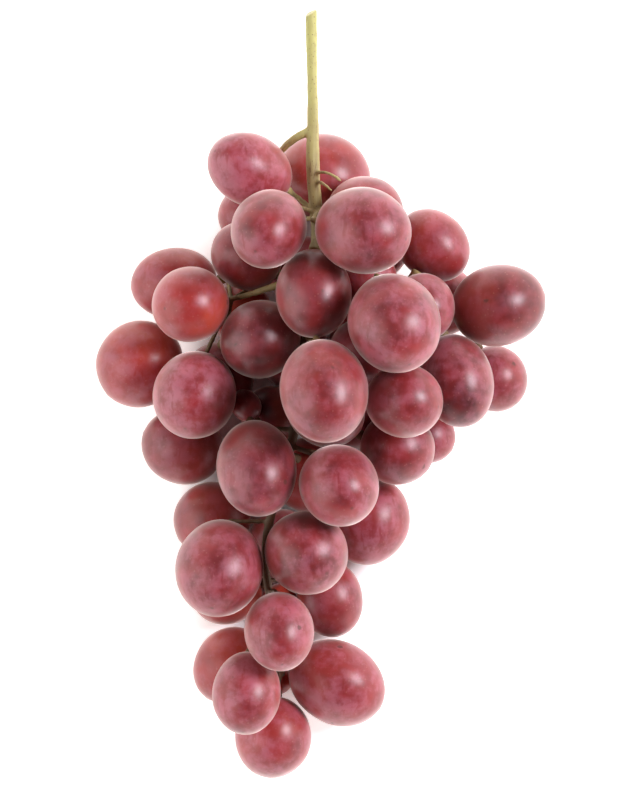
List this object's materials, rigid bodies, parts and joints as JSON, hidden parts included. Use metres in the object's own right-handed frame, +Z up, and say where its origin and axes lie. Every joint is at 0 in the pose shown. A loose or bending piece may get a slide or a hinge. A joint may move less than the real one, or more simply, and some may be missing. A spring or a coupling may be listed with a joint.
{
  "type": "bunch of grapes",
  "caption": "Picked bunch of large red table grapes lying on its side, grapes on a branched green-brown stem with a long cut end.",
  "frame": {"origin": "middle of the bunch's footprint on the surface that it lies on", "axes": "+Y along the bunch towards the cut end of its stem, +Z up from the surface, +X to the right seen from above"},
  "size_m": [0.1352, 0.232, 0.0769],
  "materials": {
    "stem": "matte green-brown bark",
    "grape_skin": "smooth dark red skin with a pale waxy bloom"
  },
  "bodies": {
    "root": {"stem": "stem", "grape_01": "grape_skin", "grape_02": "grape_skin", "grape_03": "grape_skin", "grape_04": "grape_skin", "grape_05": "grape_skin", "grape_06": "grape_skin", "grape_07": "grape_skin", "grape_08": "grape_skin", "grape_09": "grape_skin", "grape_10": "grape_skin", "grape_11": "grape_skin", "grape_12": "grape_skin", "grape_13": "grape_skin", "grape_14": "grape_skin", "grape_15": "grape_skin", "grape_16": "grape_skin", "grape_17": "grape_skin", "grape_18": "grape_skin", "grape_19": "grape_skin", "grape_20": "grape_skin", "grape_21": "grape_skin", "grape_22": "grape_skin", "grape_23": "grape_skin", "grape_24": "grape_skin", "grape_25": "grape_skin", "grape_26": "grape_skin", "grape_27": "grape_skin", "grape_28": "grape_skin", "grape_29": "grape_skin", "grape_30": "grape_skin", "grape_31": "grape_skin", "grape_32": "grape_skin", "grape_33": "grape_skin", "grape_34": "grape_skin", "grape_35": "grape_skin", "grape_36": "grape_skin", "grape_37": "grape_skin", "grape_38": "grape_skin", "grape_39": "grape_skin", "grape_40": "grape_skin", "grape_41": "grape_skin", "grape_42": "grape_skin", "grape_43": "grape_skin", "grape_44": "grape_skin", "grape_45": "grape_skin", "grape_46": "grape_skin", "grape_47": "grape_skin", "grape_48": "grape_skin", "grape_49": "grape_skin", "grape_50": "grape_skin", "grape_51": "grape_skin", "grape_52": "grape_skin", "grape_53": "grape_skin", "grape_54": "grape_skin", "grape_55": "grape_skin"}
  },
  "joints": []
}
